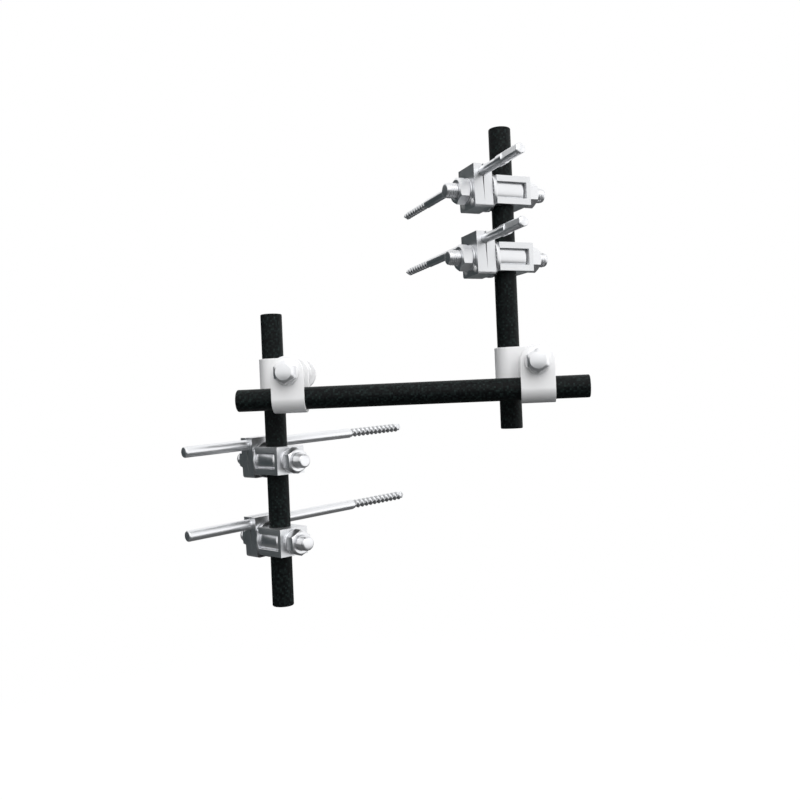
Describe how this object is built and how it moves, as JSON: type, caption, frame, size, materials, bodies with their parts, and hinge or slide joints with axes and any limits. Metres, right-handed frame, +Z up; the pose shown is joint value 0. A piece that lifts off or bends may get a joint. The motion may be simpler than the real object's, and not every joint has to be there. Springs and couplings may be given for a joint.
{
  "type": "external fixator",
  "caption": "Unilateral external bone fixator: carbon rods joined by folded strap clamps, carrying pin clamps whose threaded bone pins enter the bone.",
  "frame": {"origin": "the middle of the connecting rod, on its axis", "axes": "+X along the connecting rod to the right, +Y away from the viewer, towards the bone, +Z up along the upright rods"},
  "size_m": [0.1999, 0.1368, 0.2365],
  "materials": {
    "carbon": "satin carbon fibre composite",
    "strap_steel": "satin, nearly white",
    "clamp_steel": "satin",
    "fastener_steel": "turned and polished",
    "pin_steel": "polished"
  },
  "bodies": {
    "connecting_rod": {"connecting_rod": "carbon"},
    "lower_clamp_front": {"lower_front_jaw": "strap_steel", "lower_clamp_bolt": "fastener_steel", "lower_front_washer": "fastener_steel", "lower_middle_washer": "fastener_steel", "lower_rear_washer": "fastener_steel", "lower_clamp_nut": "fastener_steel"},
    "lower_clamp_rear": {"lower_rear_jaw": "strap_steel"},
    "lower_upright": {"lower_rod": "carbon"},
    "lower_pin_clamp_1": {"lower_yoke_1": "clamp_steel", "lower_eye_bolt_1": "fastener_steel", "lower_clamp_disc_1": "fastener_steel", "lower_washers_1": "fastener_steel", "lower_rod_nut_1": "fastener_steel", "lower_pin_nut_1": "fastener_steel"},
    "lower_plates_1": {"lower_inner_plate_1": "clamp_steel", "lower_outer_plate_1": "clamp_steel", "lower_guide_pins_1": "fastener_steel"},
    "lower_pin_1": {"lower_bone_pin_1": "pin_steel"},
    "lower_pin_clamp_2": {"lower_yoke_2": "clamp_steel", "lower_eye_bolt_2": "fastener_steel", "lower_clamp_disc_2": "fastener_steel", "lower_washers_2": "fastener_steel", "lower_rod_nut_2": "fastener_steel", "lower_pin_nut_2": "fastener_steel"},
    "lower_plates_2": {"lower_inner_plate_2": "clamp_steel", "lower_outer_plate_2": "clamp_steel", "lower_guide_pins_2": "fastener_steel"},
    "lower_pin_2": {"lower_bone_pin_2": "pin_steel"},
    "upper_clamp_front": {"upper_front_jaw": "strap_steel", "upper_clamp_bolt": "fastener_steel", "upper_front_washer": "fastener_steel", "upper_middle_washer": "fastener_steel", "upper_rear_washer": "fastener_steel", "upper_clamp_nut": "fastener_steel"},
    "upper_clamp_rear": {"upper_rear_jaw": "strap_steel"},
    "upper_upright": {"upper_rod": "carbon"},
    "upper_pin_clamp_1": {"upper_yoke_1": "clamp_steel", "upper_eye_bolt_1": "fastener_steel", "upper_clamp_disc_1": "fastener_steel", "upper_washers_1": "fastener_steel", "upper_rod_nut_1": "fastener_steel", "upper_pin_nut_1": "fastener_steel"},
    "upper_plates_1": {"upper_inner_plate_1": "clamp_steel", "upper_outer_plate_1": "clamp_steel", "upper_guide_pins_1": "fastener_steel"},
    "upper_pin_1": {"upper_bone_pin_1": "pin_steel"},
    "upper_pin_clamp_2": {"upper_yoke_2": "clamp_steel", "upper_eye_bolt_2": "fastener_steel", "upper_clamp_disc_2": "fastener_steel", "upper_washers_2": "fastener_steel", "upper_rod_nut_2": "fastener_steel", "upper_pin_nut_2": "fastener_steel"},
    "upper_plates_2": {"upper_inner_plate_2": "clamp_steel", "upper_outer_plate_2": "clamp_steel", "upper_guide_pins_2": "fastener_steel"},
    "upper_pin_2": {"upper_bone_pin_2": "pin_steel"}
  },
  "joints": [
    {"name": "lower_clamp_swing", "type": "hinge", "parent": "connecting_rod", "child": "lower_clamp_front", "pos_m": [-0.0592, 0, 0], "axis": [1, 0, 0], "range_deg": [-20, 20]},
    {"name": "lower_upright_tilt", "type": "hinge", "parent": "lower_clamp_front", "child": "lower_clamp_rear", "pos_m": [-0.0592, 0.018, 0.0128], "axis": [0, 1, 0], "range_deg": [-20, 20]},
    {"name": "lower_upright_turn", "type": "hinge", "parent": "lower_clamp_rear", "child": "lower_upright", "pos_m": [-0.072, 0.018, 0.0128], "axis": [0, 0, 1], "range_deg": [-30, 30]},
    {"name": "lower_pin_clamp_slide_1", "type": "slide", "parent": "lower_upright", "child": "lower_pin_clamp_1", "axis": [0, 0, 1], "range_m": [-0.008, 0.01]},
    {"name": "lower_plates_turn_1", "type": "hinge", "parent": "lower_pin_clamp_1", "child": "lower_plates_1", "pos_m": [-0.072, 0.018, -0.031], "axis": [0.7727, -0.6347, 0], "range_deg": [-12, 12]},
    {"name": "lower_pin_slide_1", "type": "slide", "parent": "lower_plates_1", "child": "lower_pin_1", "axis": [0.6344, 0.7724, 0.0314], "range_m": [-0.015, 0.012]},
    {"name": "lower_pin_clamp_slide_2", "type": "slide", "parent": "lower_upright", "child": "lower_pin_clamp_2", "axis": [0, 0, 1], "range_m": [-0.02, 0.008]},
    {"name": "lower_plates_turn_2", "type": "hinge", "parent": "lower_pin_clamp_2", "child": "lower_plates_2", "pos_m": [-0.072, 0.018, -0.0723], "axis": [0.7727, -0.6347, 0], "range_deg": [-12, 12]},
    {"name": "lower_pin_slide_2", "type": "slide", "parent": "lower_plates_2", "child": "lower_pin_2", "axis": [0.6344, 0.7724, 0.0314], "range_m": [-0.015, 0.012]},
    {"name": "upper_clamp_slide", "type": "slide", "parent": "connecting_rod", "child": "upper_clamp_front", "axis": [1, 0, 0], "range_m": [-0.03, 0.008]},
    {"name": "upper_upright_tilt", "type": "hinge", "parent": "upper_clamp_front", "child": "upper_clamp_rear", "pos_m": [0.0615, 0.018, 0.0128], "axis": [0, 1, 0], "range_deg": [-20, 20]},
    {"name": "upper_upright_turn", "type": "hinge", "parent": "upper_clamp_rear", "child": "upper_upright", "pos_m": [0.0487, 0.018, 0.0128], "axis": [0, 0, 1], "range_deg": [-30, 30]},
    {"name": "upper_pin_clamp_slide_1", "type": "slide", "parent": "upper_upright", "child": "upper_pin_clamp_1", "axis": [0, 0, 1], "range_m": [-0.004, 0.015]},
    {"name": "upper_plates_turn_1", "type": "hinge", "parent": "upper_pin_clamp_1", "child": "upper_plates_1", "pos_m": [0.0487, 0.018, 0.0982], "axis": [0.8788, 0.4772, 0], "range_deg": [-12, 12]},
    {"name": "upper_pin_slide_1", "type": "slide", "parent": "upper_plates_1", "child": "upper_pin_1", "axis": [-0.4771, 0.8786, -0.0209], "range_m": [-0.015, 0.012]},
    {"name": "upper_pin_clamp_slide_2", "type": "slide", "parent": "upper_upright", "child": "upper_pin_clamp_2", "axis": [0, 0, 1], "range_m": [-0.02, 0.005]},
    {"name": "upper_plates_turn_2", "type": "hinge", "parent": "upper_pin_clamp_2", "child": "upper_plates_2", "pos_m": [0.0487, 0.018, 0.0654], "axis": [0.8788, 0.4772, 0], "range_deg": [-12, 12]},
    {"name": "upper_pin_slide_2", "type": "slide", "parent": "upper_plates_2", "child": "upper_pin_2", "axis": [-0.4771, 0.8786, -0.0209], "range_m": [-0.015, 0.012]}
  ]
}
